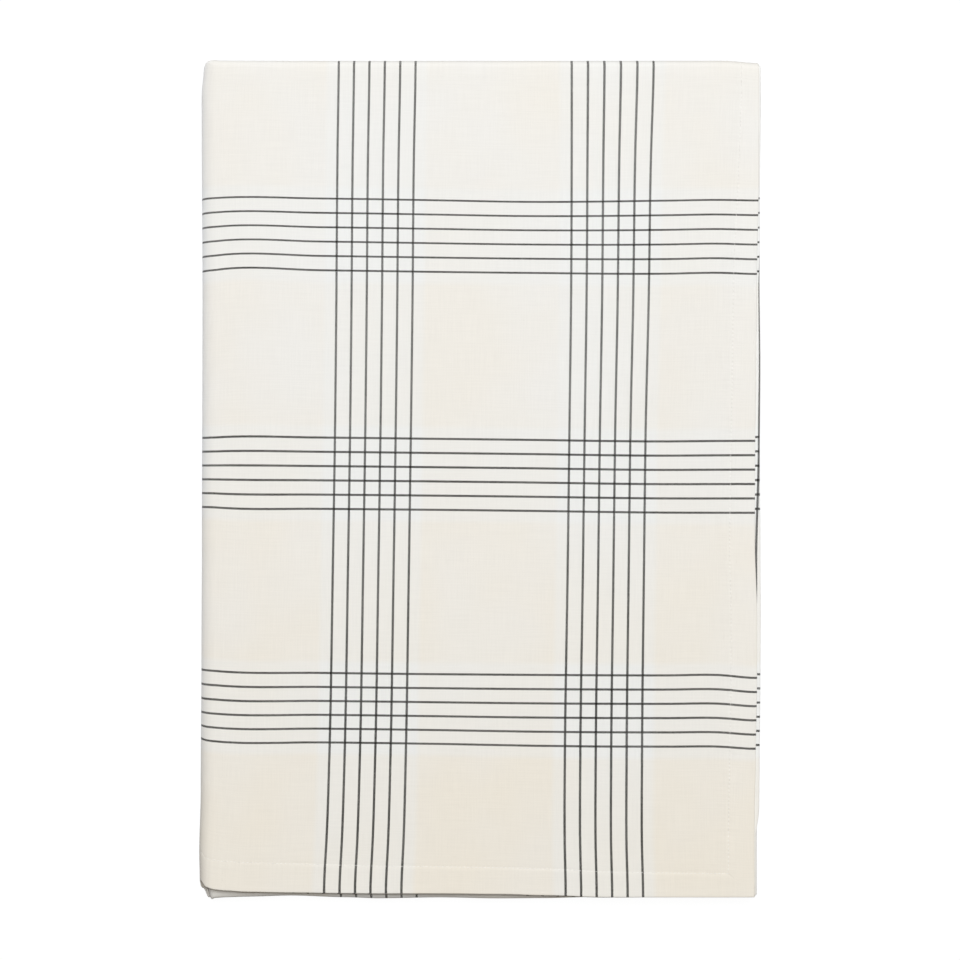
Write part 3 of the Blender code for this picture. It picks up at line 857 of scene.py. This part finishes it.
def make_cloth():
    """The folded sheet, and the middle that its points were moved by."""
    across, along = cloth_grid()
    edge = rounded_edge(across, along)
    hem = np.clip((HEM - from_edge(across, along)) / HEM_EXTRA_EASES, 0.0, 1.0)
    right = carried(across, along, right_side_height(across, along) * edge)
    wrong = carried(across, along, (-SHEET / 2 - HEM_EXTRA * hem) * edge)
    points = np.concatenate([right.reshape(-1, 3), wrong.reshape(-1, 3)])
    low, high = points.min(axis=0), points.max(axis=0)
    cad_low, cad_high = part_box("tablecloth")
    middle = (low + high) / 2 - (np.array(cad_low) + np.array(cad_high)) / 2
    middle[2] = low[2] - cad_low[2]
    count = across.size
    columns, rows = across.shape
    i, j = np.meshgrid(np.arange(columns - 1), np.arange(rows - 1), indexing="ij")
    a = (i * rows + j).ravel()
    top_faces = np.stack([a, a + 1, a + rows + 1, a + rows], axis=1)
    faces = top_faces.tolist() + (top_faces[:, ::-1] + count).tolist() + rim_faces(columns, rows)
    cloth = add_piece("folded_cloth", points - middle, faces, plain_woven_cotton())
    warp, weft = woven_places(across, along, middle)
    woven = np.stack([warp, weft, np.zeros_like(warp)], axis=-1).reshape(-1, 3)
    seams = np.stack(seam_places(across, along), axis=-1).reshape(-1, 3)
    for name, values in (("weave", woven), ("seam", seams)):
        made = cloth.data.attributes.new(name, "FLOAT_VECTOR", "POINT")
        made.data.foreach_set("vector", np.concatenate([values, values]).astype(np.float32).ravel())
    lay_out_map(cloth.data, across, along, len(top_faces))
    return cloth, middle


def lay_out_map(mesh, across, along, side_faces):
    """Gives the cloth a map: the right side on the left, its rim round it, the wrong side on the right."""
    left, low = (part.ravel() for part in flattened(across, along))
    right_side = np.stack([left, low], axis=1)
    wrong_side = np.stack([WRONG_SIDE_FROM + left * WRONG_SIDE_SHARE, low], axis=1)
    places = np.concatenate([right_side, wrong_side])
    corners = np.empty(len(mesh.loops), np.int32)
    mesh.loops.foreach_get("vertex_index", corners)
    mapped = places[corners]
    rim = np.arange(len(corners)) >= side_faces * 8
    under = rim & (corners >= len(left))
    edge = right_side[corners[under] - len(left)]
    at_start = edge < 0.01
    at_end = edge > (0.895, 0.99)
    mapped[under] = edge + RIM_WIDTH * at_end - RIM_WIDTH * at_start
    layer = mesh.uv_layers.new(name="OFBake")
    layer.data.foreach_set("uv", mapped.astype(np.float32).ravel())


def make_stitches(middle):
    """The white thread along all four seams, one long stitch after another."""
    shaken = np.random.default_rng(5)
    rings = np.array(STITCH_RINGS)[None, :, None, :]
    section = np.array(STITCH_SECTION)[None, None, :, :]
    groups = []
    for whole, other, table, lengthwise in (
        (CLOTH_LENGTH, CLOTH_WIDTH, SIDE_SEAM, True),
        (CLOTH_WIDTH, CLOTH_LENGTH, END_SEAM, False),
    ):
        centres = np.arange(HEM + STITCH_PITCH, whole - HEM - STITCH_PITCH, STITCH_PITCH)
        for far in (False, True):
            skew = shaken.normal(0.0, STITCH_SKEW, (len(centres), 1, 1))
            reach = rings[..., 0] * STITCH_LENGTH
            run = np.repeat(centres[:, None, None] + reach, len(STITCH_SECTION), axis=2)
            aside = rings[..., 1] * section[..., 0] * STITCH_HALF_WIDTH + skew * rings[..., 0]
            place = other - HEM + aside if far else read_smoothly(table, "width", run) + aside
            across, along = (place, run) if lengthwise else (run, place)
            high = rings[..., 1] * section[..., 1] * STITCH_HALF_WIDTH * STITCH_FLATTENED
            height = right_side_height(across, along) + STITCH_LIFTED + high
            groups.append(carried(across, along, height))
    points = np.concatenate(groups).reshape(-1, 3) - middle
    return add_piece("hem_stitches", points, stitch_faces(len(points)), mercerised_thread())


def stitch_faces(points):
    """Quads round each stitch between its rings, and one at each of its ends."""
    sides = []
    for ring in (0, 4):
        for here in range(4):
            there = (here + 1) % 4
            sides.append([ring + here, ring + there, ring + 4 + there, ring + 4 + here])
    one = np.array([*sides, [3, 2, 1, 0], [8, 9, 10, 11]])
    first = np.arange(0, points, 12)[:, None, None]
    return (first + one).reshape(-1, 4).tolist()


def make_floor():
    """A wide matt floor, just under the cloth."""
    corners = ((-1.0, -1.0), (1.0, -1.0), (1.0, 1.0), (-1.0, 1.0))
    points = np.array([(x * FLOOR_HALF, y * FLOOR_HALF, -FLOOR_LOWER) for x, y in corners])
    floor = add_piece("floor", points, [[0, 1, 2, 3]], lit_opal_acrylic())
    return floor


def add_softbox(name, at, aim, size, power, colour):
    """A large soft square light."""
    lamp = bpy.data.lights.new(name, "AREA")
    lamp.shape = "SQUARE"
    lamp.size = size
    lamp.energy = power
    lamp.color = linear(colour)[:3]
    light = bpy.data.objects.new(name, lamp)
    light.location = at
    aim_at(light, aim)
    bpy.context.scene.collection.objects.link(light)


def aim_at(thing, aim):
    """Turns a lamp or camera to look at a point."""
    way = mathutils.Vector(aim) - thing.location
    thing.rotation_mode = "QUATERNION"
    thing.rotation_quaternion = way.to_track_quat("-Z", "Y")


def light_the_room():
    """Plain soft light, strongest from above and behind the cloth."""
    world = bpy.data.worlds.new("room")
    world.use_nodes = True
    world.node_tree.nodes["Background"].inputs["Color"].default_value = linear(ROOM_LIGHT)
    world.node_tree.nodes["Background"].inputs["Strength"].default_value = ROOM_STRENGTH
    bpy.context.scene.world = world
    add_softbox("key_softbox", KEY_AT, (0.0, 0.0, 0.0), KEY_SIZE, KEY_POWER, KEY_LIGHT)


def add_camera(top):
    """Straight above the cloth."""
    lens = bpy.data.cameras.new("camera")
    lens.lens = CAMERA_LENS
    lens.sensor_width = 36.0
    camera = bpy.data.objects.new("camera", lens)
    camera.location = (*CAMERA_AT, top + CAMERA_UP)
    bpy.context.scene.collection.objects.link(camera)
    bpy.context.scene.camera = camera


cloth, middle = make_cloth()
stitches = make_stitches(middle)
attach(cloth, "root")
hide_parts("tablecloth")
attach(stitches, "root")
floor = make_floor()
light_the_room()
add_camera(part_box("tablecloth")[1].z)
bpy.context.scene.view_settings.view_transform = "Standard"
